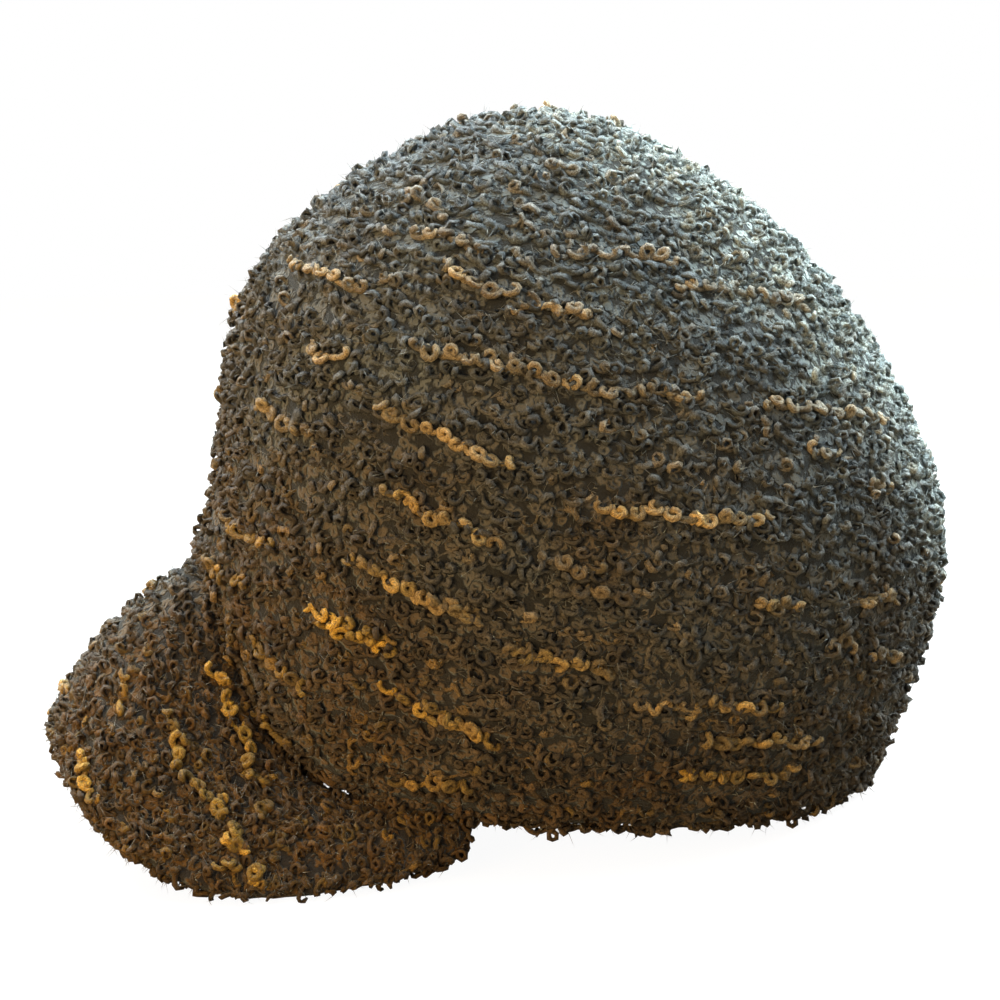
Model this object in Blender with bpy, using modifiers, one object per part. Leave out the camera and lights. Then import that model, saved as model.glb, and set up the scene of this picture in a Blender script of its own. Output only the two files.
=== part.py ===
"""A soft knitted cap with a deep crown and an arched peak, lying as it rests on a table.

Lengths are in metres. The wearer's front is -Y, the wearer's left is +X and +Z is up.
The floor is Z = 0. The crown and the peak are two pieces of thick looped knit.
"""
import math

import bmesh
import bpy
from mathutils import Vector

# Crown
CROWN_HEIGHT = 0.2140
FRONT_REACH = 0.1235
BACK_REACH = 0.1335
HALF_WIDTH = 0.1055
APEX_LEAN = 0.0042
CROWN_WALL = 0.0050

# Rim: it rests at the back and rises towards the peak, which bends its front into an arch
NOSE_UP = math.radians(5.6)
ARCH_RISE = 0.0660
ARCH_HALF_ANGLE = math.radians(85.0)
ARCH_SHARPNESS = 12.0
ARCH_FADE = 3.2

# Peak: its seam follows the rim, its outer edge runs from corner to corner round the tip
PEAK_WALL = 0.0065
PEAK_PROJECTION = 0.0550
PEAK_TIP_HEIGHT = 0.0350
PEAK_TIP_SHARPNESS = 4.0
PEAK_TIP_DIP = 0.0090
PEAK_TIP_DIP_SHARPNESS = 8.0
PEAK_SQUARENESS = 0.84
PEAK_FLARE = 0.0117
PEAK_BULGE = 0.0080
PEAK_BULGE_SKEW = 1.3
PEAK_BULGE_FORWARD = 0.4

# Ends of the peak: where they lie, their width, and how they rise to the rim
PEAK_END_ANGLE = math.radians(63.0)
PEAK_END_WIDTH = 0.0050
PEAK_END_RISE = 0.34
PEAK_END_CURVE = 1.5

# Seam: the peak is set into the crown's wall and laps over it, and the two keep a small gap
SEAM_INSET = 0.0010
SEAM_LAP = 0.0030
SEAM_GAP = 0.0003

# How the cap lies: the rim and the peak's sides sink this far and are flattened by the floor
RIM_FLATTENING = 0.0025
PEAK_FLATTENING = 0.0030

# Soft dents of the crown
DENT_DEPTH = 0.0060

# Rings of the crown from the rim up: height as a share of CROWN_HEIGHT, then the ring's front,
# back and side as shares of FRONT_REACH, BACK_REACH and HALF_WIDTH
SECTION_COLUMNS = ("height", "front", "back", "side")
SECTIONS = (
    (0.000, 0.990, 0.790, 0.780),
    (0.040, 1.005, 0.815, 0.830),
    (0.120, 1.005, 0.860, 0.905),
    (0.240, 0.965, 0.930, 0.965),
    (0.380, 0.915, 1.000, 1.000),
    (0.520, 0.905, 0.950, 0.970),
    (0.660, 0.860, 0.830, 0.880),
    (0.780, 0.740, 0.685, 0.740),
    (0.880, 0.530, 0.515, 0.555),
    (0.950, 0.320, 0.300, 0.335),
    (0.985, 0.180, 0.155, 0.175),
)

# Dents: where each lies and how far it spreads, in degrees round the crown and in shares of
# CROWN_HEIGHT, then its depth as a share of DENT_DEPTH
DENT_COLUMNS = ("angle", "height", "angle_spread", "height_spread", "depth")
DENTS = (
    (94.0, 0.880, 22.0, 0.060, 1.00),
    (107.0, 0.770, 17.0, 0.070, 0.90),
    (126.0, 0.640, 14.0, 0.100, 0.55),
    (-105.0, 0.820, 24.0, 0.090, 0.80),
    (15.0, 0.560, 20.0, 0.120, 0.40),
)

# Columns of each half of the cages: along the peak's seam, and on round the back
SEAM_COLUMNS = 6
BACK_COLUMNS = 9

# Rings of the peak, as shares of the way from the rim to the outer edge
PEAK_RINGS = (0.0, 0.14, 0.38, 0.62, 0.84, 0.96, 1.0)


def bell(offset, spread):
    """A smooth bump that is 1 at no offset and fades over the spread."""
    return math.exp(-((offset / spread) ** 2))


def arch_share(angle):
    """How far the rim is lifted at this angle, as a share of the arch's rise."""
    share = min(abs(angle) / ARCH_HALF_ANGLE, 1.0)
    return math.cos(share * math.pi / 2) ** ARCH_SHARPNESS


def dent_at(angle, height):
    """Depth of the crown's dents at an angle and a height share."""
    depth = 0.0
    for row in DENTS:
        dent = dict(zip(DENT_COLUMNS, row))
        around = math.degrees(angle) - dent["angle"]
        around = (around + 180.0) % 360.0 - 180.0
        fade = bell(around, dent["angle_spread"]) * bell(height - dent["height"], dent["height_spread"])
        depth += DENT_DEPTH * dent["depth"] * fade
    return depth


def crown_point(section, angle, inset=0.0):
    """A point of the crown's outside. The angle is 0 at the front and grows towards +X."""
    forward = math.cos(angle)
    if forward > 0.0:
        reach = FRONT_REACH * section["front"]
    else:
        reach = BACK_REACH * section["back"]
    inset = inset + dent_at(angle, section["height"])
    x = (HALF_WIDTH * section["side"] - inset) * math.sin(angle)
    y = -(reach - inset) * forward - APEX_LEAN * section["height"]
    rise = ARCH_RISE * arch_share(angle) * (1.0 - section["height"]) ** ARCH_FADE
    z = CROWN_HEIGHT * section["height"] + rise + nose_up_lift(y) - RIM_FLATTENING
    return Vector((x, y, z))


def nose_up_lift(y):
    """The cap lies tipped back, so everything rises from the back of the rim to the front."""
    back_of_rim = BACK_REACH * SECTIONS[0][2]
    return (back_of_rim - y) * math.tan(NOSE_UP)


def apex_point():
    y = -APEX_LEAN
    return Vector((0.0, y, CROWN_HEIGHT + nose_up_lift(y) - RIM_FLATTENING))


def rim_point(angle, inset=0.0):
    return crown_point(dict(zip(SECTION_COLUMNS, SECTIONS[0])), angle, inset)


def add_object(name, mesh, collection):
    mesh_object = bpy.data.objects.new(name, mesh)
    collection.objects.link(mesh_object)
    return mesh_object


def grid_mesh(name, rows, closed):
    """Skin rows of points with quads, and join each row's end to its start where it is closed."""
    mesh = bpy.data.meshes.new(name)
    cage = bmesh.new()
    grid = [[cage.verts.new(point) for point in row] for row in rows]
    for lower, upper in zip(grid, grid[1:]):
        count = len(lower) if closed else len(lower) - 1
        for index in range(count):
            after = (index + 1) % len(lower)
            cage.faces.new((lower[index], lower[after], upper[after], upper[index]))
    cage.to_mesh(mesh)
    cage.free()
    return mesh


def close_top(mesh, apex):
    """Close the crown's last ring with a fan of faces round the apex."""
    cage = bmesh.new()
    cage.from_mesh(mesh)
    open_edges = [edge for edge in cage.edges if edge.is_boundary]
    top_edges = [edge for edge in open_edges if edge.verts[0].co.z > apex.z / 2]
    tip = cage.verts.new(apex)
    for edge in top_edges:
        cage.faces.new((edge.verts[0], edge.verts[1], tip))
    bmesh.ops.recalc_face_normals(cage, faces=cage.faces)
    cage.to_mesh(mesh)
    cage.free()


def seam_angles():
    """Angles of the columns that the crown and the peak share, from end to end of the seam."""
    steps = range(-SEAM_COLUMNS, SEAM_COLUMNS + 1)
    return [PEAK_END_ANGLE * step / SEAM_COLUMNS for step in steps]


def back_angles():
    """Angles of the crown's other columns, round the back from one end of the seam."""
    spread = 2 * (math.pi - PEAK_END_ANGLE)
    count = 2 * BACK_COLUMNS
    return [PEAK_END_ANGLE + spread * step / count for step in range(1, count)]


def crown_cage(name, rim_drop):
    """The crown's outside as an open surface, its rim lowered by the drop."""
    angles = seam_angles() + back_angles()
    rows = []
    for values in SECTIONS:
        section = dict(zip(SECTION_COLUMNS, values))
        rows.append([crown_point(section, angle) for angle in angles])
    rows[0] = [point - Vector((0.0, 0.0, rim_drop)) for point in rows[0]]
    mesh = grid_mesh(name, rows, closed=True)
    close_top(mesh, apex_point())
    return mesh


def thicken(shell, thickness, offset):
    """Turn an open surface into a wall with soft edges."""
    wall = shell.modifiers.new("Wall", "SOLIDIFY")
    wall.thickness = thickness
    wall.offset = offset
    wall.use_even_offset = True
    soften = shell.modifiers.new("Soften", "SUBSURF")
    soften.levels = 1
    soften.render_levels = 1


def peak_outer_point(share):
    """The peak's outer edge, from one end at -1 over the tip at 0 to the other end at 1."""
    turn = share * math.pi / 2
    across = max(math.cos(turn), 0.0)
    corner = rim_point(PEAK_END_ANGLE)
    reach = PEAK_PROJECTION - rim_point(0.0).y + corner.y
    x = corner.x * math.sin(turn) + PEAK_FLARE * math.sin(2 * turn)
    y = corner.y - reach * across ** PEAK_SQUARENESS
    y += PEAK_TIP_DIP * across ** PEAK_TIP_DIP_SHARPNESS
    end_share = max(1.0 - (1.0 - abs(share)) / PEAK_END_RISE, 0.0)
    end_height = (corner.z - PEAK_END_WIDTH) * end_share ** PEAK_END_CURVE
    z = PEAK_TIP_HEIGHT * across ** PEAK_TIP_SHARPNESS + end_height - PEAK_FLATTENING
    return Vector((x, y, z))


def peak_inner_point(share):
    """The peak's inner edge, inside the crown's wall, which trims it back."""
    point = rim_point(share * PEAK_END_ANGLE, inset=SEAM_INSET)
    return point + Vector((0.0, 0.0, SEAM_LAP))


def peak_cage(name):
    """The peak's middle surface, bulged between its two edges."""
    rows = []
    for ring in PEAK_RINGS:
        row = []
        for angle in seam_angles():
            share = angle / PEAK_END_ANGLE
            flat = peak_inner_point(share).lerp(peak_outer_point(share), ring)
            bulge = PEAK_BULGE * math.sin(math.pi * ring ** PEAK_BULGE_SKEW)
            bulge *= math.cos(share * math.pi / 2)
            row.append(flat + Vector((0.0, -PEAK_BULGE_FORWARD * bulge, bulge)))
        rows.append(row)
    return grid_mesh(name, rows, closed=False)


def knit_material(name, color):
    material = bpy.data.materials.new(name)
    material.use_nodes = True
    shader = material.node_tree.nodes["Principled BSDF"]
    shader.inputs["Base Color"].default_value = (*color, 1.0)
    shader.inputs["Roughness"].default_value = 0.95
    shader.inputs["Metallic"].default_value = 0.0
    return material


def as_cutter(cutter):
    cutter.hide_render = True
    cutter.display_type = "WIRE"
    return cutter


def cut(piece, cutter):
    """Take the cutter's volume away from a piece."""
    trim = piece.modifiers.new(f"Trim by {cutter.name}", "BOOLEAN")
    trim.operation = "DIFFERENCE"
    trim.object = cutter


def make_floor(collection):
    """A block under the floor, which flattens the knit where it rests."""
    size = 4 * BACK_REACH
    mesh = bpy.data.meshes.new("floor")
    block = bmesh.new()
    bmesh.ops.create_cube(block, size=size)
    bmesh.ops.translate(block, vec=(0.0, 0.0, -size / 2), verts=block.verts)
    block.to_mesh(mesh)
    block.free()
    return as_cutter(add_object("floor", mesh, collection))


def make_crown_room(collection):
    """The crown's wall grown by the seam's gap, which trims the peak where they meet."""
    room = add_object("crown_room", crown_cage("crown_room", SEAM_GAP), collection)
    thickness = CROWN_WALL + 2 * SEAM_GAP
    thicken(room, thickness, -CROWN_WALL / thickness)
    return as_cutter(room)


def make_crown(collection, floor):
    crown = add_object("crown", crown_cage("crown", 0.0), collection)
    thicken(crown, CROWN_WALL, -1.0)
    cut(crown, floor)
    crown.data.materials.append(knit_material("crown_knit", (0.075, 0.062, 0.052)))
    crown.data.shade_smooth()
    return crown


def make_peak(collection, floor, crown_room):
    peak = add_object("peak", peak_cage("peak"), collection)
    thicken(peak, PEAK_WALL, 0.0)
    cut(peak, crown_room)
    cut(peak, floor)
    peak.data.materials.append(knit_material("peak_knit", (0.085, 0.066, 0.048)))
    peak.data.shade_smooth()
    return peak


def centre_on_origin(root, pieces):
    """Slide the finished cap along Y until its box is centred over the origin."""
    bpy.context.view_layer.update()
    graph = bpy.context.evaluated_depsgraph_get()
    along = []
    for piece in pieces:
        evaluated = piece.evaluated_get(graph)
        mesh = evaluated.to_mesh()
        along.extend(vertex.co.y for vertex in mesh.vertices)
        evaluated.to_mesh_clear()
    root.location.y = -(min(along) + max(along)) / 2


def make_collection(name):
    collection = bpy.data.collections.new(name)
    bpy.context.scene.collection.children.link(collection)
    return collection


def main():
    for old_object in list(bpy.data.objects):
        bpy.data.objects.remove(old_object, do_unlink=True)
    cap = make_collection("knitted_peaked_cap")
    cutters = make_collection("cutters")
    root = add_object("cap_origin", None, cap)
    floor = make_floor(cutters)
    crown_room = make_crown_room(cutters)
    crown = make_crown(cap, floor)
    peak = make_peak(cap, floor, crown_room)
    for child in (floor, crown_room, crown, peak):
        child.parent = root
    centre_on_origin(root, (crown, peak))


main()
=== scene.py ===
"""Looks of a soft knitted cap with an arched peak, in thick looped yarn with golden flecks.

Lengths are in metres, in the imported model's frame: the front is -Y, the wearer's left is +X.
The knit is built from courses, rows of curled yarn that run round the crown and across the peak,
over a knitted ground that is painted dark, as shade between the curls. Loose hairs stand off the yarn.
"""
import math

import bmesh
import bpy
import numpy as np
from mathutils import Matrix, Vector, noise
from mathutils.bvhtree import BVHTree


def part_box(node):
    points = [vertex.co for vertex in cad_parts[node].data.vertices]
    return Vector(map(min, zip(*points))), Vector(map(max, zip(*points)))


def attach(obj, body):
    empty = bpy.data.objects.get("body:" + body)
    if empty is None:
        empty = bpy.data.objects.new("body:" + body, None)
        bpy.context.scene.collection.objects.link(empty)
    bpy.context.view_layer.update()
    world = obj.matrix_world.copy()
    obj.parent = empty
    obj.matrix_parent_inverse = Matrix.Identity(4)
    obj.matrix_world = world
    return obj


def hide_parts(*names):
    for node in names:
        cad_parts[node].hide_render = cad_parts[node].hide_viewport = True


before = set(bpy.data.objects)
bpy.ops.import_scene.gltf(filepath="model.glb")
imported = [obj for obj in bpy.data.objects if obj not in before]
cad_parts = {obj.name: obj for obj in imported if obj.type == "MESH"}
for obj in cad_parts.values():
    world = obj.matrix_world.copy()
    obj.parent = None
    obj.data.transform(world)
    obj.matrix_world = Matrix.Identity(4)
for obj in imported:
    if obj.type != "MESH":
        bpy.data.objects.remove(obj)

# View: where the photograph was taken from, and its lens
VIEW_AZIMUTH = math.radians(71.9)
VIEW_HEIGHT = math.radians(9.4)
VIEW_ROLL = math.radians(-0.5)
VIEW_DISTANCE = 0.560
VIEW_TARGET = Vector((-0.0036, -0.0018, 0.0967))
LENS_MM = 60.9
SENSOR_MM = 36.0
PHOTO_SIZE = 1000
CLIP_START = 0.01

# Lights: azimuth and height in degrees, measured as the camera's are, with distance, size and power
LIGHT_COLUMNS = ("name", "azimuth", "height", "distance", "size", "power", "color")
LIGHTS = (
    ("window", 226.0, 42.0, 1.4, 2.2, 140.0, (0.86, 0.98, 1.0)),
    ("sky", 170.0, 66.0, 1.4, 1.2, 26.0, (0.80, 0.94, 1.0)),
    ("window side", 310.0, 46.0, 1.4, 0.9, 36.0, (0.92, 0.97, 1.0)),
    ("room front", 34.0, 8.0, 1.2, 0.7, 16.0, (1.0, 0.66, 0.28)),
)

# Room: how the backdrop and the floor look, and the dimmer, warmer light that they throw on the cap
BACKDROP = (1.0, 1.0, 1.0)
ROOM_LIGHT = (0.48, 0.455, 0.395)
FLOOR_SIZE = 8.0
FLOOR_PALE = (0.9, 0.9, 0.9)
FLOOR_GLOW = 1.08
FLOOR_GLOW_SHARE = 0.88
FLOOR_LIGHT = (0.13, 0.09, 0.045)
FLOOR_ROUGHNESS = 0.9

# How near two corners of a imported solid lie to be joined, and a length that stands in for nothing
JOIN_DISTANCE = 0.00001
TINY = 1e-9

# Courses: rows of yarn, into how many parts spare rows divide the room between two, and how close two
# may come. The inside's and the peak's are this many times as far apart. A row is compared with so many
# others, the first one lies this share of a pitch above the rim, and no run of yarn is shorter than this.
COURSE_PITCH = 0.0043
COURSE_PARTS = 4
CLOSEST_COURSES = 0.0030
INSIDE_SPREAD = 2.1
PEAK_SPREAD = 0.90
COURSE_REACH = 60
FIRST_COURSE = 0.2
SHORTEST_RUN = 0.006
FLOOR_CLEARANCE = 0.0003

# Yarn: each style's ring spacing and radius, yarn radius, lift off the surface, dip between rings,
# stray sideways, tilt of the rings, turns of each ring and how often they change their way, how far
# the yarn dwells in a ring, and how finely it is made
PLAIN_YARN = {
    "pitch": 0.0040, "ring": (0.0013, 0.0024), "yarn": (0.00082, 0.00115), "lift": (-0.0006, 0.0014),
    "dip": 0.0012, "stray": 0.0014, "tilt": 0.65, "turns": (1.0, 1.5), "flips": 0.12, "dwell": 0.9,
    "steps": 9, "sides": 3,
}
INSIDE_YARN = {
    "pitch": 0.0062, "ring": (0.0019, 0.0031), "yarn": (0.00110, 0.00145), "lift": (0.0000, 0.0012),
    "dip": 0.0008, "stray": 0.0015, "tilt": 0.55, "turns": (1.0, 1.4), "flips": 0.12, "dwell": 0.8,
    "steps": 8, "sides": 3,
}
PEAK_YARN = {
    "pitch": 0.0036, "ring": (0.0012, 0.0022), "yarn": (0.00076, 0.00106), "lift": (-0.0004, 0.0012),
    "dip": 0.0011, "stray": 0.0011, "tilt": 0.65, "turns": (1.0, 1.5), "flips": 0.12, "dwell": 0.9,
    "steps": 9, "sides": 3,
}
FLECK_YARN = {
    "pitch": 0.0053, "ring": (0.0014, 0.0023), "yarn": (0.00080, 0.00112), "lift": (0.0012, 0.0022),
    "dip": 0.0018, "stray": 0.0008, "tilt": 0.50, "turns": (1.2, 2.0), "flips": 0.12, "dwell": 0.92,
    "steps": 15, "sides": 5,
}
RING_SHIFT = 0.25
RING_SQUASH = (0.65, 1.0)
BRIDGE_SHRINK = 0.5
YARN_LUMPS = (0.82, 1.18)
END_TAPER = 0.4
FIBER_TWIST = 1000.0
FIBER_STRETCH = 260.0

# Crown: how its courses follow the arch of its rim, and rise towards the front above it. Rays from
# its heart find the wall. Faces that point further down than this belong to the rim.
NOSE_UP = math.radians(5.6)
ARCH_FADE = 4.5
FRONT_LIFT = 0.020
FRONT_LIFT_ANGLE = math.radians(60.0)
FRONT_LIFT_START = 0.4
FRONT_LIFT_FADE = 0.3
HEART_HEIGHT = 0.108
RAY_REACH = 0.30
COLUMNS = 180
RAY_STEP = math.radians(0.5)
RAY_RANGE = (math.radians(-65.0), math.radians(90.0))
RIM_NORMAL = -0.85
SHARE_STEPS = 401
TOP_START = 0.78
RIM_COURSES = (0.5,)

# Peak: its courses run across it, and bend back at the sides by this share of the seam's bend. Faces
# that point further back than this belong to the seam. The courses along its edge lie at these shares
# of the way from its top to its underside, pushed outwards.
PEAK_COLUMNS = 89
PEAK_SIDE_ANGLE = math.radians(88.0)
PEAK_STEP = 0.0008
PEAK_COURSE_BEND = 0.55
SEAM_NORMAL = 0.75
PEAK_EDGE_COURSES = (0.0, 0.33, 0.67, 1.0)
EDGE_PUSH = 0.003
EDGE_BACK = 0.006

# Ground: the knit under the curls, painted dark as shade between them, and the scale of its lumps, rings
# and fluff
GROUND_VOXEL = {"crown": 0.0035, "peak": 0.0022}
GROUND_SMOOTHING = 0.5
GROUND_SMOOTHINGS = 2
GROUND_SINK = 0.0004
GROUND_LUMP = 0.0006
GROUND_LUMP_SCALE = 260.0
GROUND_RINGS = 300.0
GROUND_WARP = 0.004
GROUND_WARP_SCALE = 300.0
GROUND_RELIEF = 0.0016
FLUFF_SCALE = 1400.0
FLUFF_HEIGHT = 0.5

# Wool: it is brownest at the low front, partly the yarn's own tone and partly painted light: a painted warm
# bounce low at the front, and painted cool, paler light up high and on the peak's far side. These planes'
# slopes and level say how brown it is where
BROWN_AND_PAINTED_LIGHT_SLOPE = {"crown": (0.0, -2.0, -4.0), "peak": (15.0, -2.0, -4.0)}
BROWN_AND_PAINTED_LIGHT_LEVEL = {"crown": 0.74, "peak": 0.44}
BROWN_PATCHES = 0.8
BROWN_PATCH_SCALE = 26.0

# Painted backlight: the wool is painted palest at the top of the back, where window light from behind
# grazes it; this plane's slopes and range say where
PAINTED_BACKLIGHT_SLOPE = (0.0, 0.74, 0.67)
PAINTED_BACKLIGHT_RANGE = (0.135, 0.170)
PAINTED_BACKLIGHT_RAGGED = 0.05
PAINTED_BACKLIGHT_RAGGED_SCALE = 60.0

# Colours: the wool's by how brown it is, then its colour under painted backlight
YARN_WOOLS = ((0.0, (0.084, 0.104, 0.118)), (0.45, (0.070, 0.055, 0.038)), (0.9, (0.078, 0.036, 0.001)))
YARN_PAINTED_BACKLIGHT = (0.33, 0.385, 0.39)
GOLDS = ((0.0, (0.36, 0.28, 0.17)), (0.7, (0.46, 0.27, 0.035)))
GROUND_SHADED_WOOLS = ((0.0, (0.052, 0.062, 0.068)), (0.40, (0.044, 0.034, 0.023)), (0.9, (0.044, 0.020, 0.002)))
GROUND_PAINTED_BACKLIGHT = (0.20, 0.23, 0.23)
HAIR_WOOLS = ((0.0, (0.15, 0.16, 0.16)), (0.45, (0.13, 0.10, 0.070)), (0.9, (0.12, 0.070, 0.022)))
HAIR_PAINTED_BACKLIGHT = (0.55, 0.61, 0.61)

# Shades: how far the tone of a curl and its fibers darken or lighten the wool, and how the ground's relief
# does, as painted shade in its hollows and painted light on its ring tops
TONE_SHADES = (
    (0.0, (0.60, 0.58, 0.56)),
    (0.4, (0.85, 0.88, 0.88)),
    (0.8, (1.20, 1.14, 1.05)),
    (1.0, (1.70, 1.60, 1.45)),
)
FIBER_SHADES = ((0.38, (0.38, 0.34, 0.30)), (0.62, (1.75, 1.80, 1.85)))
FIBER_SCALE = 2.6
FIBER_RELIEF = 0.0010
RING_HEIGHTS = (
    (0.08, (0.10, 0.10, 0.10)),
    (0.24, (0.80, 0.80, 0.80)),
    (0.42, (0.90, 0.90, 0.90)),
    (0.60, (0.05, 0.05, 0.05)),
)
GROUND_RELIEF_PAINTED_SHADING = (
    (0.30, (0.20, 0.19, 0.18)),
    (0.95, (1.7, 1.7, 1.65)),
    (1.0, (2.4, 2.4, 2.3)),
)

# Gloss: golden yarn is the less rough
YARN_ROUGHNESS = ((0.0, (0.52, 0.52, 0.52)), (0.8, (0.30, 0.30, 0.30)))

# Flecks that the photograph shows, as pixels of its frame, and how bright each is
FLECK_COLUMNS = ("from_x", "from_y", "to_x", "to_y", "bright")
CROWN_FLECKS = (
    (290, 262, 362, 290, 0.8),
    (312, 352, 345, 352, 0.9),
    (258, 402, 300, 425, 0.8),
    (380, 408, 512, 468, 1.0),
    (385, 492, 497, 542, 1.0),
    (350, 555, 458, 612, 1.0),
    (307, 606, 352, 624, 1.0),
    (326, 624, 372, 642, 1.0),
    (360, 636, 396, 654, 1.0),
    (368, 626, 392, 642, 0.8),
    (405, 590, 450, 606, 0.8),
    (440, 605, 487, 618, 0.6),
    (386, 688, 490, 738, 1.0),
    (420, 700, 498, 742, 0.8),
    (228, 520, 272, 546, 0.7),
    (213, 556, 219, 575, 0.7),
    (219, 575, 246, 586, 0.8),
    (253, 640, 307, 688, 0.6),
    (250, 700, 303, 752, 0.9),
    (262, 714, 290, 744, 0.7),
    (408, 194, 446, 216, 0.6),
    (413, 234, 482, 248, 0.7),
    (443, 270, 512, 298, 0.8),
    (512, 304, 592, 310, 0.7),
    (545, 166, 575, 172, 0.5),
    (558, 255, 672, 258, 0.6),
    (678, 285, 806, 305, 0.7),
    (412, 348, 492, 362, 0.7),
    (480, 360, 592, 388, 0.7),
    (590, 390, 702, 396, 0.6),
    (765, 405, 882, 420, 0.8),
    (808, 450, 832, 452, 0.9),
    (870, 487, 885, 488, 0.7),
    (600, 506, 690, 518, 0.8),
    (690, 520, 770, 516, 1.0),
    (756, 601, 895, 598, 0.8),
    (510, 650, 617, 670, 0.9),
    (640, 704, 690, 706, 0.5),
    (690, 705, 775, 704, 1.0),
    (700, 738, 815, 740, 0.7),
    (680, 770, 792, 770, 0.8),
    (398, 774, 470, 786, 0.6),
    (832, 640, 850, 642, 0.5),
    (870, 655, 900, 655, 0.5),
    (925, 570, 942, 570, 0.4),
    (560, 590, 640, 596, 0.3),
    (540, 560, 600, 570, 0.3),
)
PEAK_FLECKS = (
    (212, 667, 226, 690, 0.9),
    (226, 692, 236, 728, 1.0),
    (245, 726, 253, 748, 0.9),
    (252, 748, 244, 776, 0.9),
    (246, 774, 264, 784, 0.6),
    (181, 742, 178, 770, 0.8),
    (167, 711, 184, 742, 0.5),
    (184, 780, 226, 803, 0.6),
    (214, 798, 225, 822, 0.9),
    (237, 826, 230, 841, 0.7),
    (228, 840, 247, 850, 0.8),
    (219, 863, 238, 865, 0.7),
    (257, 864, 254, 886, 0.9),
    (262, 806, 266, 818, 0.6),
    (123, 674, 120, 714, 0.6),
    (80, 758, 97, 796, 0.8),
    (335, 779, 349, 791, 0.6),
)
FLECK_STEPS = 12
FLECK_BRIGHTNESS = (0.5, 1.0)

# Flecks on the sides that it doesn't show: the share of the courses that they take, their length, how
# far along a course the first may start, and how squarely a place faces the camera to count as shown
HIDDEN_FLECK_SHARE = 0.11
HIDDEN_FLECK_LENGTH = (0.008, 0.045)
HIDDEN_FLECK_START = 0.1
HIDDEN_FLECK_STEPS = 10
SEEN_FACING = 0.12

# Pale stretches in plain yarn: how often, and how golden
PALE_SHARE = 0.16
PALE_GOLD = (0.05, 0.30)

# Loose hairs
HAIR_COUNT = {"crown": 25000, "peak": 6000}
HAIR_LENGTH = (0.0020, 0.0050)
HAIR_RADIUS = 0.00010
HAIR_RISE = 0.30

# How far a face of a joined mesh reaches from the middle of its cell in the baking map
CELL_REACH = 0.55

# Seeds of the random draws
SEEDS = {
    "crown_curls": 11, "crown_inside": 31, "crown_hairs": 41, "crown_hidden_flecks": 21, "crown_flecks": 25,
    "peak_curls": 51, "peak_under": 61, "peak_hairs": 71, "peak_hidden_flecks": 65, "peak_flecks": 66,
}

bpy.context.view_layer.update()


def view_axes():
    """The camera's right, up and backward directions."""
    across = math.cos(VIEW_HEIGHT)
    back = Vector((
        math.sin(VIEW_AZIMUTH) * across,
        -math.cos(VIEW_AZIMUTH) * across,
        math.sin(VIEW_HEIGHT),
    ))
    level = Vector((math.cos(VIEW_AZIMUTH), math.sin(VIEW_AZIMUTH), 0.0))
    upright = back.cross(level)
    right = level * math.cos(VIEW_ROLL) + upright * math.sin(VIEW_ROLL)
    up = upright * math.cos(VIEW_ROLL) - level * math.sin(VIEW_ROLL)
    return right, up, back


def make_camera():
    """The camera stands where the photograph was taken from."""
    right, up, back = view_axes()
    data = bpy.data.cameras.new("camera")
    data.lens = LENS_MM
    data.sensor_width = SENSOR_MM
    data.clip_start = CLIP_START
    camera = bpy.data.objects.new("camera", data)
    turn = Matrix((right, up, back)).transposed()
    camera.matrix_world = Matrix.Translation(VIEW_TARGET + back * VIEW_DISTANCE) @ turn.to_4x4()
    bpy.context.scene.collection.objects.link(camera)
    bpy.context.scene.camera = camera


def sight_line(x, y):
    """Where the camera stands, and the direction in which it sees a pixel of the photograph."""
    right, up, back = view_axes()
    focal = LENS_MM / SENSOR_MM * PHOTO_SIZE
    middle = PHOTO_SIZE / 2
    direction = right * (x - middle) - up * (y - middle) - back * focal
    return VIEW_TARGET + back * VIEW_DISTANCE, direction.normalized()


def make_floor():
    """A plain pale floor, which throws little light up at the cap."""
    shape = bmesh.new()
    bmesh.ops.create_grid(shape, x_segments=1, y_segments=1, size=FLOOR_SIZE / 2)
    mesh = bpy.data.meshes.new("floor")
    shape.to_mesh(mesh)
    shape.free()
    floor = bpy.data.objects.new("floor", mesh)
    bpy.context.scene.collection.objects.link(floor)
    nodes = Nodes("pale floor")
    nodes.shader.inputs["Base Color"].default_value = (*FLOOR_LIGHT, 1.0)
    nodes.shader.inputs["Roughness"].default_value = FLOOR_ROUGHNESS
    pale = nodes.add("ShaderNodeBsdfDiffuse")
    pale.inputs["Color"].default_value = (*FLOOR_PALE, 1.0)
    white = nodes.add("ShaderNodeEmission")
    white.inputs["Strength"].default_value = FLOOR_GLOW
    seen = nodes.add("ShaderNodeMixShader")
    seen.inputs["Fac"].default_value = FLOOR_GLOW_SHARE
    nodes.link(pale.outputs["BSDF"], seen.inputs[1])
    nodes.link(white.outputs["Emission"], seen.inputs[2])
    surface = nodes.add("ShaderNodeMixShader")
    nodes.link(nodes.add("ShaderNodeLightPath").outputs["Is Camera Ray"], surface.inputs["Fac"])
    nodes.link(nodes.shader.outputs["BSDF"], surface.inputs[1])
    nodes.link(seen.outputs["Shader"], surface.inputs[2])
    output = nodes.tree.nodes["Material Output"]
    nodes.link(surface.outputs["Shader"], output.inputs["Surface"])
    mesh.materials.append(nodes.material)


def make_light(name, azimuth, height, distance, size, power, color):
    """A soft square light that looks at the cap from an azimuth measured as the camera's is."""
    data = bpy.data.lights.new(name, "AREA")
    data.size = size
    data.energy = power
    data.color = color
    light = bpy.data.objects.new(name, data)
    across = math.cos(math.radians(height))
    away = Vector((
        math.sin(math.radians(azimuth)) * across,
        -math.cos(math.radians(azimuth)) * across,
        math.sin(math.radians(height)),
    ))
    light.location = VIEW_TARGET + away * distance
    light.rotation_euler = away.to_track_quat("Z", "Y").to_euler()
    bpy.context.scene.collection.objects.link(light)


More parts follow.
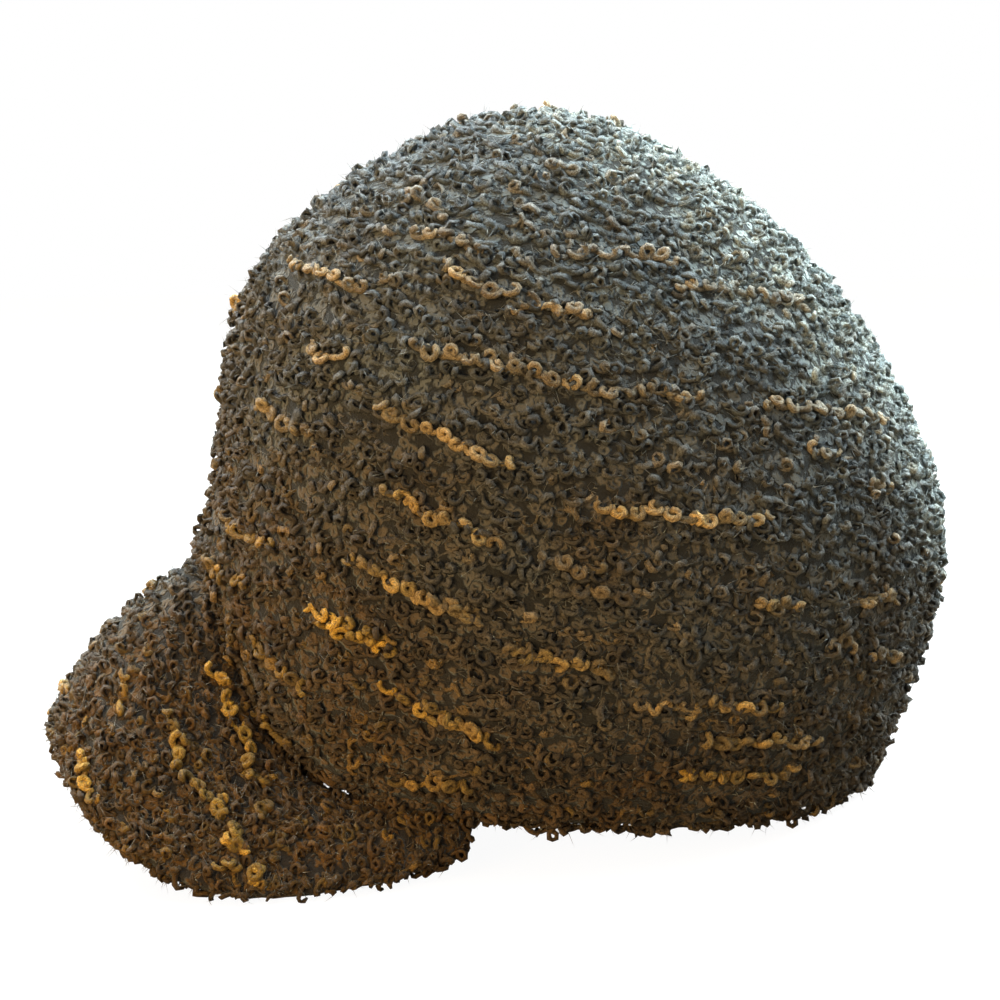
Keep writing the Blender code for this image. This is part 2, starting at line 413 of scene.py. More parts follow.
def make_studio():
    """Window light from behind, a weak warm light from the front, and a white backdrop."""
    for row in LIGHTS:
        make_light(**dict(zip(LIGHT_COLUMNS, row)))
    world = bpy.data.worlds.new("room")
    world.use_nodes = True
    nodes = world.node_tree.nodes
    mix = nodes.new("ShaderNodeMix")
    mix.data_type = "RGBA"
    mix.inputs[6].default_value = (*ROOM_LIGHT, 1.0)
    mix.inputs[7].default_value = (*BACKDROP, 1.0)
    seen = nodes.new("ShaderNodeLightPath").outputs["Is Camera Ray"]
    world.node_tree.links.new(seen, mix.inputs[0])
    world.node_tree.links.new(mix.outputs[2], nodes["Background"].inputs["Color"])
    bpy.context.scene.world = world
    bpy.context.scene.view_settings.view_transform = "Standard"


class Nodes:
    """Short calls for building one material's nodes."""

    def __init__(self, name):
        self.material = bpy.data.materials.new(name)
        self.material.use_nodes = True
        self.tree = self.material.node_tree
        self.shader = self.tree.nodes["Principled BSDF"]

    def add(self, kind, **settings):
        """A new node with these settings."""
        node = self.tree.nodes.new(kind)
        for name, value in settings.items():
            setattr(node, name, value)
        return node

    def link(self, source, target):
        """Join an output to an input."""
        self.tree.links.new(source, target)

    def attribute(self, name, output="Fac"):
        """A value that the piece's points hold."""
        return self.add("ShaderNodeAttribute", attribute_name=name).outputs[output]

    def place(self):
        """The place on the cap."""
        return self.add("ShaderNodeTexCoord").outputs["Object"]

    def math(self, operation, first, second):
        """Arithmetic on two numbers or outputs."""
        node = self.add("ShaderNodeMath", operation=operation)
        for value, socket in zip((first, second), node.inputs):
            if isinstance(value, float):
                socket.default_value = value
            else:
                self.link(value, socket)
        return node.outputs["Value"]

    def along(self, slopes):
        """How far a place on the cap lies up the plane with these slopes."""
        slope = self.add("ShaderNodeVectorMath", operation="DOT_PRODUCT")
        slope.inputs[1].default_value = slopes
        self.link(self.place(), slope.inputs[0])
        return slope.outputs["Value"]

    def brown(self, node):
        """How brown the wool is, from its place on the cap, in soft patches: partly its own tone, partly
        painted light.
        """
        patches = self.math("MULTIPLY", self.noise(BROWN_PATCH_SCALE, 3.0), BROWN_PATCHES)
        # Painted light in this plane: cooler and paler up high and on the peak's far side, warmer low at
        # the front
        level = self.math("ADD", self.along(BROWN_AND_PAINTED_LIGHT_SLOPE[node]), BROWN_AND_PAINTED_LIGHT_LEVEL[node] - BROWN_PATCHES / 2)
        return self.math("ADD", level, patches)

    def painted_backlight(self):
        """How much painted backlight the wool takes, from its place on the cap, with a ragged edge."""
        ragged = self.math("MULTIPLY", self.noise(PAINTED_BACKLIGHT_RAGGED_SCALE, 4.0), PAINTED_BACKLIGHT_RAGGED)
        level = self.math("ADD", self.along(PAINTED_BACKLIGHT_SLOPE), ragged)
        level = self.math("SUBTRACT", level, PAINTED_BACKLIGHT_RAGGED / 2)
        share = self.add("ShaderNodeMapRange")
        share.inputs["From Min"].default_value = PAINTED_BACKLIGHT_RANGE[0]
        share.inputs["From Max"].default_value = PAINTED_BACKLIGHT_RANGE[1]
        self.link(level, share.inputs["Value"])
        return share.outputs["Result"]

    def wool(self, node, stops, painted_backlight_color):
        """The wool's colour by how brown it is and how much painted backlight it takes."""
        # Painted backlight: the colour is mixed towards a pale one where window light from behind would
        # graze the wool
        return self.mix(self.painted_backlight(), self.ramp(self.brown(node), stops), (*painted_backlight_color, 1.0))

    def warped(self, reach):
        """A place on the cap, pushed about by up to this reach."""
        texture = self.add("ShaderNodeTexNoise")
        texture.inputs["Scale"].default_value = GROUND_WARP_SCALE
        self.link(self.place(), texture.inputs["Vector"])
        push = self.add("ShaderNodeVectorMath", operation="MULTIPLY_ADD")
        self.link(texture.outputs["Color"], push.inputs[0])
        push.inputs[1].default_value = (reach, reach, reach)
        self.link(self.place(), push.inputs[2])
        return push.outputs["Vector"]

    def noise(self, scale, detail=2.0, roughness=0.5, place=None):
        """Noise by the place on the cap, or by another one."""
        place = place or self.place()
        texture = self.add("ShaderNodeTexNoise")
        texture.inputs["Scale"].default_value = scale
        texture.inputs["Detail"].default_value = detail
        texture.inputs["Roughness"].default_value = roughness
        self.link(place, texture.inputs["Vector"])
        return texture.outputs["Fac"]

    def ramp(self, source, stops):
        """A colour read off a ramp with these stops."""
        ramp = self.add("ShaderNodeValToRGB")
        elements = ramp.color_ramp.elements
        while len(elements) < len(stops):
            elements.new(0.5)
        for element, (place, color) in zip(elements, stops):
            element.position = place
            element.color = (*color, 1.0)
        self.link(source, ramp.inputs["Fac"])
        return ramp.outputs["Color"]

    def mix(self, share, first, second, blend="MIX"):
        """Two colours mixed or multiplied."""
        mix = self.add("ShaderNodeMix", data_type="RGBA", blend_type=blend)
        for value, socket in ((share, mix.inputs[0]), (first, mix.inputs[6]), (second, mix.inputs[7])):
            if isinstance(value, (tuple, float)):
                socket.default_value = value
            else:
                self.link(value, socket)
        return mix.outputs[2]

    def bump(self, height, distance):
        """Relief from a height between 0 and 1, which stands for this distance."""
        bump = self.add("ShaderNodeBump")
        bump.inputs["Strength"].default_value = 1.0
        bump.inputs["Distance"].default_value = distance
        self.link(height, bump.inputs["Height"])
        self.link(bump.outputs["Normal"], self.shader.inputs["Normal"])


def yarn_material(name, node):
    """Wool-mix yarn of twisted fibers: its tone changes from curl to curl, and some is dyed gold."""
    nodes = Nodes(name)
    # Painted backlight: the yarn is made pale at the top of the back
    wool = nodes.wool(node, YARN_WOOLS, YARN_PAINTED_BACKLIGHT)
    fleck = nodes.attribute("fleck")
    # The gold follows the same plane: paler up high and richer low at the front, partly painted light
    color = nodes.mix(fleck, wool, nodes.ramp(nodes.brown(node), GOLDS))
    color = nodes.mix(1.0, color, nodes.ramp(nodes.attribute("tone"), TONE_SHADES), "MULTIPLY")
    fibers = nodes.noise(FIBER_SCALE, 3.0, 0.65, nodes.attribute("strand", "Vector"))
    color = nodes.mix(1.0, color, nodes.ramp(fibers, FIBER_SHADES), "MULTIPLY")
    nodes.link(color, nodes.shader.inputs["Base Color"])
    nodes.link(nodes.ramp(fleck, YARN_ROUGHNESS), nodes.shader.inputs["Roughness"])
    nodes.shader.inputs["Specular IOR Level"].default_value = 0.25
    nodes.shader.inputs["Sheen Weight"].default_value = 0.10
    nodes.shader.inputs["Sheen Roughness"].default_value = 0.5
    nodes.shader.inputs["Sheen Tint"].default_value = (0.95, 0.98, 1.0, 1.0)
    nodes.bump(fibers, FIBER_RELIEF)
    return nodes.material


def ground_material(name, node):
    """The matted knit between the curls, itself in rings and fluffy; painted darker than the yarn as shade
    between the curls, with painted shade in its hollows.
    """
    nodes = Nodes(name)
    rings = nodes.add("ShaderNodeTexVoronoi")
    rings.inputs["Scale"].default_value = GROUND_RINGS
    nodes.link(nodes.warped(GROUND_WARP), rings.inputs["Vector"])
    loops = nodes.ramp(rings.outputs["Distance"], RING_HEIGHTS)
    fluff = nodes.math("MULTIPLY", nodes.noise(FLUFF_SCALE, 4.0, 0.7), FLUFF_HEIGHT)
    mat = nodes.math("ADD", loops, fluff)
    # Painted shade: the ground's wool is darker than the yarn's, so that the gaps between the curls read as
    # shadow
    wool = nodes.wool(node, GROUND_SHADED_WOOLS, GROUND_PAINTED_BACKLIGHT)
    # Painted shade in the hollows of the ground's rings and fluff, and painted light on their tops
    color = nodes.mix(1.0, wool, nodes.ramp(mat, GROUND_RELIEF_PAINTED_SHADING), "MULTIPLY")
    nodes.link(color, nodes.shader.inputs["Base Color"])
    nodes.shader.inputs["Roughness"].default_value = 0.95
    nodes.shader.inputs["Sheen Weight"].default_value = 0.15
    nodes.shader.inputs["Sheen Tint"].default_value = (0.8, 0.95, 1.0, 1.0)
    nodes.bump(mat, GROUND_RELIEF)
    return nodes.material


def hair_material(name, node):
    """Loose hairs, paler than the yarn, and paler still under painted backlight."""
    nodes = Nodes(name)
    nodes.link(nodes.wool(node, HAIR_WOOLS, HAIR_PAINTED_BACKLIGHT), nodes.shader.inputs["Base Color"])
    nodes.shader.inputs["Roughness"].default_value = 0.45
    nodes.shader.inputs["Sheen Weight"].default_value = 0.5
    nodes.shader.inputs["Sheen Tint"].default_value = (0.80, 0.97, 1.0, 1.0)
    return nodes.material


def merged_copy(node):
    """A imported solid's mesh with its loose triangles joined."""
    shape = bmesh.new()
    shape.from_mesh(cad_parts[node].data)
    bmesh.ops.remove_doubles(shape, verts=shape.verts, dist=JOIN_DISTANCE)
    return shape


def cast(tree, start, direction):
    """Where a ray first meets the surface, and the normal there, or two nothings."""
    place, normal, _, _ = tree.ray_cast(start, direction, RAY_REACH)
    return place, normal


def crown_heart():
    """The point inside the crown from which its wall is found."""
    low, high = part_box("crown")
    return Vector((0.0, (low.y + high.y) / 2, HEART_HEIGHT))


def meridian(tree, azimuth, outside):
    """Points and normals up one side of the crown's wall at an azimuth, from the rim to the top."""
    heart = crown_heart()
    points, normals = [], []
    for height in np.arange(*RAY_RANGE, RAY_STEP):
        away = Vector((
            math.sin(azimuth) * math.cos(height),
            -math.cos(azimuth) * math.cos(height),
            math.sin(height),
        ))
        if outside:
            place, normal = cast(tree, heart + away * RAY_REACH, -away)
        else:
            place, normal = cast(tree, heart, away)
        if place is not None and normal.z > RIM_NORMAL:
            points.append(place)
            normals.append(normal)
    return np.array(points), np.array(normals)


def arc_lengths(points):
    """How far along a line of points each one lies."""
    steps = np.linalg.norm(np.diff(points, axis=0), axis=1)
    return np.concatenate([[0.0], np.cumsum(steps)])


def at_arc(values, arcs, wanted):
    """Values along a line of points, read at the wanted arc lengths."""
    return np.stack([np.interp(wanted, arcs, values[:, axis]) for axis in range(3)], axis=1)


def unit(vectors):
    """The vectors at a length of 1."""
    lengths = np.linalg.norm(vectors, axis=-1, keepdims=True)
    return vectors / np.maximum(lengths, TINY)


def level_height(points):
    """Height above the tilted plane in which the crown's plain courses lie."""
    return points[:, 2] + points[:, 1] * math.tan(NOSE_UP)


def front_lift(azimuth):
    """How far the courses above the arch are lifted towards the front, as a share of the lift."""
    turn = (azimuth + math.pi) % (2 * math.pi) - math.pi
    share = min(abs(turn) / FRONT_LIFT_ANGLE, 1.0)
    return math.cos(share * math.pi / 2)


def crown_courses(tree, outside, pitch):
    """Rows of points round the crown, from the rim to the top, that fade from arched to level."""
    azimuths = np.linspace(0.0, 2 * math.pi, COLUMNS, endpoint=False)
    sides = [meridian(tree, azimuth, outside) for azimuth in azimuths]
    heights = [np.maximum.accumulate(level_height(points)) for points, _ in sides]
    base = min(height[0] for height in heights)
    full = max(height[-1] for height in heights) - base
    shares = np.linspace(0.0, 1.0, SHARE_STEPS)

    def level_at(height, azimuth, share):
        """The height at which a course that has climbed this share of the crown crosses a side."""
        arch = (height[0] - base) * (1.0 - share) ** ARCH_FADE
        start = 1.0 - np.exp(-share / FRONT_LIFT_START)
        lift = FRONT_LIFT * front_lift(azimuth) * start * (1.0 - share) ** FRONT_LIFT_FADE
        return base + full * share + arch + lift

    side = COLUMNS // 4
    side_arcs = arc_lengths(sides[side][0])
    side_levels = level_at(heights[side], azimuths[side], shares)
    side_shares = np.interp(heights[side], side_levels, shares)
    top_arc = np.interp(TOP_START, side_shares, side_arcs)
    lower_count = COURSE_PARTS * int(round(top_arc / pitch))
    lower_arcs = np.linspace(FIRST_COURSE * pitch, top_arc, lower_count, endpoint=False)
    lower = np.interp(lower_arcs, side_arcs, side_shares)
    upper_count = COURSE_PARTS * int(round((side_arcs[-1] - top_arc) / pitch))
    upper = np.arange(upper_count) / upper_count

    grid, normals = [], []
    for (points, faces), height, azimuth in zip(sides, heights, azimuths):
        arcs = arc_lengths(points)
        climb = height + np.arange(len(height)) * TINY
        low_arcs = np.interp(level_at(height, azimuth, lower), climb, arcs)
        start = np.interp(level_at(height, azimuth, TOP_START), climb, arcs)
        wanted = np.concatenate([low_arcs, start + upper * (arcs[-1] - start)])
        grid.append(at_arc(points, arcs, wanted))
        normals.append(at_arc(faces, arcs, wanted))
    grid = np.stack(grid, axis=1)
    normals = np.stack(normals, axis=1)
    normals = unit(normals + np.roll(normals, 1, axis=1) + np.roll(normals, -1, axis=1))
    return grid, normals


def stretches(keep, line, closed):
    """The kept stretches of a row that are long enough for yarn, as indices along it."""
    order = np.arange(len(keep))
    if closed and keep.all():
        return [np.append(order, 0)]
    if closed:
        order = np.roll(order, -int(np.argmin(keep)))
    edges = np.flatnonzero(np.diff(np.concatenate([[False], keep[order], [False]]).astype(int)))
    found = [order[start:end] for start, end in zip(edges[::2], edges[1::2])]
    return [part for part in found if len(part) > 2 and arc_lengths(line[part])[-1] > SHORTEST_RUN]


def runs(grid, normals, valid, closest, closed):
    """Courses laid on a fine grid of rows: first every main row, then spare ones where there is room."""
    kept = np.zeros(grid.shape[:2], bool)
    order = list(range(0, len(grid), COURSE_PARTS))
    step = COURSE_PARTS
    while step > 1:
        order += range(step // 2, len(grid), step)
        step //= 2
    found = {}
    for row in order:
        clear = valid[row].copy()
        for other in range(max(row - COURSE_REACH, 0), min(row + COURSE_REACH, len(grid))):
            near = np.linalg.norm(grid[row] - grid[other], axis=1) < closest
            clear &= ~(near & kept[other])
        found[row] = stretches(clear, grid[row], closed)
        for part in found[row]:
            kept[row, part] = True
    return [(grid[row, part], normals[row, part]) for row in sorted(found) for part in found[row]]


def edge_courses(tree, outer, inner, inside, shares):
    """Courses along the open edge of a wall, between the edges of its outside and its inside."""
    onward = unit(outer - inside) * EDGE_PUSH
    found = []
    for share in shares:
        line, facing = [], []
        for guess in outer + (inner - outer) * share + onward:
            place, normal, _, _ = tree.find_nearest(Vector(guess))
            line.append(place)
            facing.append(normal)
        found.append((np.array(line), np.array(facing)))
    return found


def peak_profile(tree, angle, outside):
    """Points and normals along the peak at an angle about its length, from the edge to the seam."""
    low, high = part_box("peak")
    away = Vector((math.sin(angle), 0.0, math.cos(angle)))
    points, normals = [], []
    for y in np.arange(low.y, high.y, PEAK_STEP):
        middle = Vector((0.0, y, FLOOR_CLEARANCE))
        if outside:
            place, normal = cast(tree, middle + away * RAY_REACH, -away)
        else:
            place, normal = cast(tree, middle, away)
        if place is not None and normal.y < SEAM_NORMAL:
            points.append(place)
            normals.append(normal)
    return np.array(points).reshape(-1, 3), np.array(normals).reshape(-1, 3)


def peak_courses(tree, outside, pitch):
    """Rows of points across the peak, most of them spare, and the lines along and behind its edge."""
    angles = np.linspace(-PEAK_SIDE_ANGLE, PEAK_SIDE_ANGLE, PEAK_COLUMNS)
    profiles = [peak_profile(tree, angle, outside) for angle in angles]
    seam = np.array([points[-1, 1] for points, _ in profiles])
    centre = seam[PEAK_COLUMNS // 2]
    bent = centre + PEAK_COURSE_BEND * (seam - centre)
    low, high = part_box("peak")
    offsets = np.arange(high.y - bent.min(), low.y - bent.max(), -pitch / COURSE_PARTS)
    grid = np.zeros((len(offsets), PEAK_COLUMNS, 3))
    normals = np.zeros_like(grid)
    valid = np.zeros(grid.shape[:2], bool)
    for column, (points, faces) in enumerate(profiles):
        wanted = bent[column] + offsets
        along = points[:, 1]
        valid[:, column] = (wanted > along[0]) & (wanted < along[-1])
        grid[:, column] = at_arc(points, along, wanted)
        normals[:, column] = at_arc(faces, along, wanted)
    edge = np.array([points[0] for points, _ in profiles])
    behind = np.array([at_arc(points, arc_lengths(points), [EDGE_BACK])[0] for points, _ in profiles])
    return grid, unit(normals), valid, edge, behind


class Yarn:
    """Lengths of curled yarn collected for one piece."""

    def __init__(self, seed, style):
        self.rng = np.random.default_rng(seed)
        self.style = style
        self.lines = []

    def curl(self, path, normals, fleck):
        """Follow a path in rings that tip, swell and turn at random; fleck gives how golden each is."""
        rng, style = self.rng, self.style
        arcs = arc_lengths(path)
        count = max(int(round(arcs[-1] / style["pitch"])), 2)
        total = count + 1
        spread = (np.arange(total) + rng.uniform(-RING_SHIFT, RING_SHIFT, total)) / count
        wanted = np.clip(spread, 0.0, 1.0) * arcs[-1]
        outward = unit(at_arc(normals, arcs, wanted))
        centres = at_arc(path, arcs, wanted)
        onward = unit(np.gradient(centres, axis=0))
        across = np.cross(outward, onward)
        lift = rng.uniform(*style["lift"], total)
        stray = rng.normal(0.0, style["stray"], total)
        centres = centres + outward * lift[:, None] + across * stray[:, None]
        tips = rng.normal(0.0, style["tilt"], (total, 2))
        axes = unit(outward + onward * tips[:, :1] + across * tips[:, 1:])
        ring = rng.uniform(*style["ring"], total)
        squash = rng.uniform(*RING_SQUASH, total)
        thick = rng.uniform(*style["yarn"], total)
        tone = rng.uniform(0.0, 1.0, total)
        golden = fleck(total, rng)
        way = np.where(rng.uniform(size=total) < style["flips"], -1.0, 1.0)
        turns = np.concatenate([[rng.uniform()], way[1:] * rng.uniform(*style["turns"], count)])

        places = np.linspace(0.0, count, count * style["steps"] + 1)
        stations = np.arange(total)
        dwell = places - style["dwell"] * np.sin(2 * math.pi * places) / (2 * math.pi)

        def blend(values, where):
            """Values at the rings' stations, read in between."""
            if values.ndim == 1:
                return np.interp(where, stations, values)
            return np.stack([np.interp(where, stations, column) for column in values.T], axis=1)

        axis = unit(blend(axes, places))
        first = unit(np.cross(axis, blend(across, places)))
        second = np.cross(axis, first)
        turn = 2 * math.pi * blend(np.cumsum(turns), places)
        bridge = 1.0 - BRIDGE_SHRINK * style["dwell"] * np.sin(math.pi * places) ** 2
        radius = blend(ring, places) * bridge
        points = blend(centres, dwell)
        points = points + first * (radius * np.cos(turn))[:, None]
        points = points + second * (radius * blend(squash, places) * np.sin(turn))[:, None]
        dip = style["dip"] * np.sin(math.pi * places) ** 2
        points = points - unit(blend(outward, places)) * dip[:, None]
        lumps = rng.uniform(*YARN_LUMPS, len(places))
        nearest = np.round(places).astype(int)
        self.lines.append((points, axis, blend(thick, places) * lumps, tone[nearest], golden[nearest]))

    def mesh(self, name, material):
        """Skin every length of yarn as a closed tube, joined in one mesh."""
        sides = self.style["sides"]
        corners, skins, caps, tones, flecks, strands = [], [], [], [], [], []
        total = 0
        turns = np.arange(sides) * 2 * math.pi / sides
        side = np.arange(sides)[None, :]
        after = (side + 1) % sides
        for points, axis, thick, tone, fleck in self.lines:
            count = len(points)
            onward = unit(np.gradient(points, axis=0))
            beside = unit(axis - onward * np.sum(axis * onward, axis=1, keepdims=True))
            above = np.cross(onward, beside)
            thick[[0, -1]] *= END_TAPER
            round_it = beside[:, None] * np.cos(turns)[None, :, None]
            round_it = round_it + above[:, None] * np.sin(turns)[None, :, None]
            corners.append((points[:, None] + round_it * thick[:, None, None]).reshape(-1, 3))
            tones.append(np.repeat(tone, sides))
            flecks.append(np.repeat(fleck, sides))
            along = arc_lengths(points)[:, None]
            twist = turns + along * FIBER_TWIST
            length = np.broadcast_to(along * FIBER_STRETCH + total, twist.shape)
            strands.append(np.stack([np.cos(twist), np.sin(twist), length], axis=-1).reshape(-1, 3))
            ring = np.arange(count - 1)[:, None] * sides + total
            skin = np.stack([ring + side, ring + after, ring + sides + after, ring + sides + side], -1)
            skins.append(skin.reshape(-1, 4))
            caps.append(total + side[:, ::-1])
            total += count * sides
            caps.append(total - sides + side)
        corners = np.concatenate(corners)
        corners[:, 2] = np.maximum(corners[:, 2], FLOOR_CLEARANCE)
        mesh = mesh_of(name, corners, [np.concatenate(skins), np.concatenate(caps)])
        for label, values in (("tone", tones), ("fleck", flecks)):
            layer = mesh.attributes.new(label, "FLOAT", "POINT")
            layer.data.foreach_set("value", np.concatenate(values).astype(np.float32))
        layer = mesh.attributes.new("strand", "FLOAT_VECTOR", "POINT")
        layer.data.foreach_set("vector", np.concatenate(strands).astype(np.float32).ravel())
        return add_piece(name, mesh, material)


def mesh_of(name, corners, groups):
    """A mesh from an array of points and arrays of faces, with a baking map of one cell a face."""
    mesh = bpy.data.meshes.new(name)
    sizes = np.concatenate([np.full(len(faces), faces.shape[1]) for faces in groups])
    starts = np.concatenate([[0], np.cumsum(sizes)[:-1]])
    mesh.vertices.add(len(corners))
    mesh.vertices.foreach_set("co", corners.astype(np.float32).ravel())
    mesh.loops.add(int(sizes.sum()))
    order = np.concatenate([faces.ravel() for faces in groups])
    mesh.loops.foreach_set("vertex_index", order.astype(np.int32))
    mesh.polygons.add(len(sizes))
    mesh.polygons.foreach_set("loop_start", starts.astype(np.int32))
    mesh.update(calc_edges=True)
    cells = math.ceil(math.sqrt(len(sizes)))
    cell = np.repeat(np.arange(len(sizes)), sizes)
    place = np.arange(len(order)) - np.repeat(starts, sizes)
    turn = (place + 0.5) * 2 * math.pi / np.repeat(sizes, sizes)
    spread = 0.5 + CELL_REACH * np.stack([np.cos(turn), np.sin(turn)], axis=1)
    low = np.stack([cell % cells, cell // cells], axis=1)
    layer = mesh.uv_layers.new(name="OFBake")
    layer.data.foreach_set("uv", ((low + spread) / cells).astype(np.float32).ravel())
    mesh.shade_smooth()
    return mesh


def add_piece(name, mesh, material):
    """A piece of looks at the origin."""
    piece = bpy.data.objects.new(name, mesh)
    bpy.context.scene.collection.objects.link(piece)
    mesh.materials.append(material)
    return piece


def plain_fleck(total, rng):
    """Plain yarn holds a few short pale stretches."""
    pale = rng.uniform(size=total) < PALE_SHARE
    return np.where(pale, rng.uniform(*PALE_GOLD, total), 0.0)


def charted_flecks(tree, chart):
    """The charted flecks as paths that lie on the surface, with their brightness."""
    found = []
    for row in chart:
        fleck = dict(zip(FLECK_COLUMNS, row))
        ends = []
        for x, y in ((fleck["from_x"], fleck["from_y"]), (fleck["to_x"], fleck["to_y"])):
            place, _, _, _ = tree.ray_cast(*sight_line(x, y))
            if place is not None:
                ends.append(place)
        if len(ends) == 2:
            steps = [ends[0].lerp(ends[1], share) for share in np.linspace(0.0, 1.0, FLECK_STEPS)]
            hits = [tree.find_nearest(step) for step in steps]
            line = np.array([hit[0] for hit in hits])
            found.append((line, np.array([hit[1] for hit in hits]), fleck["bright"]))
    return found


def hidden_flecks(courses, rng):
    """Stretches of the courses that the photograph doesn't show, golden as often as those it does."""
    eye = np.array(sight_line(0.0, 0.0)[0])
    found = []
    for line, facing in courses:
        arcs = arc_lengths(line)
        seen = np.sum(unit(eye - line) * unit(facing), axis=1) > SEEN_FACING
        place = rng.uniform(0.0, HIDDEN_FLECK_START)
        while place < arcs[-1]:
            length = rng.uniform(*HIDDEN_FLECK_LENGTH)
            wanted = np.linspace(place, min(place + length, arcs[-1]), HIDDEN_FLECK_STEPS)
            shown = np.interp(wanted, arcs, seen.astype(float)).max() > 0.0
            if not shown and wanted[-1] - wanted[0] > HIDDEN_FLECK_LENGTH[0] / 2:
                stretch = at_arc(line, arcs, wanted), at_arc(facing, arcs, wanted)
                found.append((*stretch, rng.uniform(*FLECK_BRIGHTNESS)))
            place += length + rng.exponential(sum(HIDDEN_FLECK_LENGTH) / 2 / HIDDEN_FLECK_SHARE)
    return found


def knit(courses, material, style, seed, parts):
    """Curl plain yarn along every course, in as many pieces of like length as there are names."""
    lengths = np.cumsum([arc_lengths(path)[-1] for path, _ in courses])
    owners = np.minimum(lengths / lengths[-1] * len(parts), len(parts) - 1).astype(int)
    pieces = []
    for number, part in enumerate(parts):
        yarn = Yarn(seed + number, style)
        for (path, facing), owner in zip(courses, owners):
            if owner == number:
                yarn.curl(path, facing, plain_fleck)
        pieces.append(yarn.mesh(part, material))
    return pieces


def knit_flecks(name, flecks, material, seed):
    """Curl golden yarn along every fleck."""
    yarn = Yarn(seed, FLECK_YARN)
    for path, facing, bright in flecks:
        yarn.curl(path, facing, lambda total, rng: bright * rng.uniform(*FLECK_BRIGHTNESS, total))
    return yarn.mesh(name, material)


def make_ground(name, node, material):
    """The knitted ground, which its material paints dark as shade: the solid remeshed evenly, sunk a little
    and made lumpy.
    """
    shape = merged_copy(node)
    mesh = bpy.data.meshes.new(name)
    shape.to_mesh(mesh)
    shape.free()
    rough = bpy.data.objects.new(name, mesh)
    bpy.context.scene.collection.objects.link(rough)
    remesh = rough.modifiers.new("Even", "REMESH")
    remesh.mode = "VOXEL"
    remesh.voxel_size = GROUND_VOXEL[node]
    smooth = rough.modifiers.new("Smooth", "SMOOTH")
    smooth.factor = GROUND_SMOOTHING
    smooth.iterations = GROUND_SMOOTHINGS
    graph = bpy.context.evaluated_depsgraph_get()
    even = bpy.data.meshes.new_from_object(rough.evaluated_get(graph))
    bpy.data.objects.remove(rough)
    count = len(even.vertices)
    places = np.zeros(count * 3, np.float32)
    facing = np.zeros(count * 3, np.float32)
    even.vertices.foreach_get("co", places)
    even.vertices.foreach_get("normal", facing)
    places, facing = places.reshape(-1, 3), facing.reshape(-1, 3)
    lumps = np.array([noise.noise(Vector(place) * GROUND_LUMP_SCALE) for place in places])
    places = places + facing * (GROUND_LUMP * lumps - GROUND_SINK)[:, None]
    places[:, 2] = np.maximum(places[:, 2], FLOOR_CLEARANCE)
    even.vertices.foreach_set("co", places.ravel())
    even.shade_smooth()
    even.name = name
    even.materials.clear()
    return add_piece(name, even, material)


def make_hairs(name, sources, count, material, seed):
    """Fine hairs that start on the yarn and stand off it, each a slim closed spike."""
    rng = np.random.default_rng(seed)
    roots, outward = [], []
    for piece in sources:
        total = len(piece.data.vertices)
        places = np.zeros(total * 3, np.float32)
        facing = np.zeros(total * 3, np.float32)
        piece.data.vertices.foreach_get("co", places)
        piece.data.vertices.foreach_get("normal", facing)
        roots.append(places.reshape(-1, 3))
        outward.append(facing.reshape(-1, 3))
    roots, outward = np.concatenate(roots), np.concatenate(outward)
    chosen = rng.choice(len(roots), count, replace=False)
    roots, outward = roots[chosen], outward[chosen]
    lean = unit(outward * HAIR_RISE + unit(rng.normal(0.0, 1.0, roots.shape)))
    side = unit(np.cross(lean, rng.normal(0.0, 1.0, roots.shape)))
    other = np.cross(lean, side)
    tips = roots + lean * rng.uniform(*HAIR_LENGTH, (count, 1))
    corners = [tips]
    for turn in (0.0, 2 * math.pi / 3, 4 * math.pi / 3):
        corners.append(roots + (side * math.cos(turn) + other * math.sin(turn)) * HAIR_RADIUS)
    corners = np.stack(corners, axis=1).reshape(-1, 3)
    corners[:, 2] = np.maximum(corners[:, 2], FLOOR_CLEARANCE)
    spike = np.array([(0, 1, 2), (0, 2, 3), (0, 3, 1), (1, 3, 2)])
    faces = (np.arange(count)[:, None, None] * 4 + spike[None]).reshape(-1, 3)
    return add_piece(name, mesh_of(name, corners, [faces]), material)


def dress(node, pieces):
    """Every piece of looks stands for its node and moves with the cap."""
    for piece in pieces:
        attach(piece, "root")
        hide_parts(node)


def surface_tree(node):
    """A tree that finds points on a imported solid."""
    solid = merged_copy(node)
    tree = BVHTree.FromBMesh(solid)
    solid.free()
    return tree


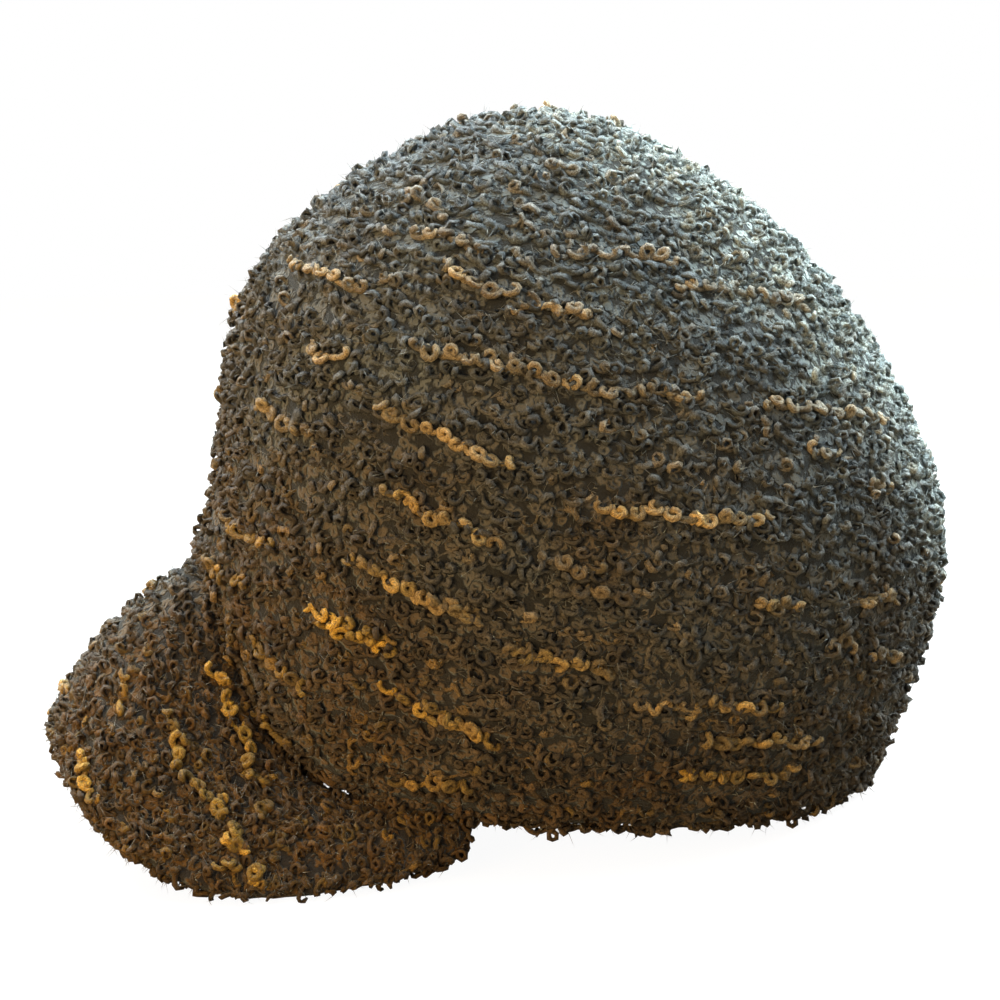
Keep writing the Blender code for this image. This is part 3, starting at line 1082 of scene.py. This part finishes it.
def make_crown():
    """The crown's looks: its courses, their hairs and flecks, and its ground."""
    tree = surface_tree("crown")
    yarn = yarn_material("crown yarn", "crown")
    grid, normals = crown_courses(tree, True, COURSE_PITCH)
    inner_grid, inner_normals = crown_courses(tree, False, COURSE_PITCH * INSIDE_SPREAD)
    outer = runs(grid, normals, np.ones(grid.shape[:2], bool), CLOSEST_COURSES, closed=True)
    every = np.ones(inner_grid.shape[:2], bool)
    inner = runs(inner_grid, inner_normals, every, CLOSEST_COURSES * INSIDE_SPREAD, closed=True)
    rim = edge_courses(tree, grid[0], inner_grid[0], grid[2 * COURSE_PARTS], RIM_COURSES)
    parts = ("crown_curls_low", "crown_curls_middle", "crown_curls_upper", "crown_curls_top")
    pieces = knit(rim + outer, yarn, PLAIN_YARN, SEEDS["crown_curls"], parts)
    hair = hair_material("crown hairs", "crown")
    hairs = make_hairs("crown_hairs", pieces, HAIR_COUNT["crown"], hair, SEEDS["crown_hairs"])
    pieces += knit(inner, yarn, INSIDE_YARN, SEEDS["crown_inside"], ("crown_curls_inside",))
    rng = np.random.default_rng(SEEDS["crown_hidden_flecks"])
    flecks = charted_flecks(tree, CROWN_FLECKS) + hidden_flecks(outer, rng)
    pieces.append(knit_flecks("crown_flecks", flecks, yarn, SEEDS["crown_flecks"]))
    pieces.append(make_ground("crown_ground", "crown", ground_material("crown ground", "crown")))
    dress("crown", pieces + [hairs])


def make_peak():
    """The peak's looks: its courses, their hairs and flecks, and its ground."""
    tree = surface_tree("peak")
    yarn = yarn_material("peak yarn", "peak")
    grid, normals, valid, outer_edge, behind = peak_courses(tree, True, COURSE_PITCH * PEAK_SPREAD)
    top = runs(grid, normals, valid, CLOSEST_COURSES * PEAK_SPREAD, closed=False)
    grid, normals, valid, inner_edge, _ = peak_courses(tree, False, COURSE_PITCH * INSIDE_SPREAD)
    under = runs(grid, normals, valid, CLOSEST_COURSES * INSIDE_SPREAD, closed=False)
    edge = edge_courses(tree, outer_edge, inner_edge, behind, PEAK_EDGE_COURSES)
    pieces = knit(top + edge, yarn, PEAK_YARN, SEEDS["peak_curls"], ("peak_curls_top",))
    hair = hair_material("peak hairs", "peak")
    hairs = make_hairs("peak_hairs", pieces, HAIR_COUNT["peak"], hair, SEEDS["peak_hairs"])
    pieces += knit(under, yarn, INSIDE_YARN, SEEDS["peak_under"], ("peak_curls_under",))
    rng = np.random.default_rng(SEEDS["peak_hidden_flecks"])
    flecks = charted_flecks(tree, PEAK_FLECKS) + hidden_flecks(top, rng)
    pieces.append(knit_flecks("peak_flecks", flecks, yarn, SEEDS["peak_flecks"]))
    pieces.append(make_ground("peak_ground", "peak", ground_material("peak ground", "peak")))
    dress("peak", pieces + [hairs])


make_camera()
make_floor()
make_studio()
make_crown()
make_peak()
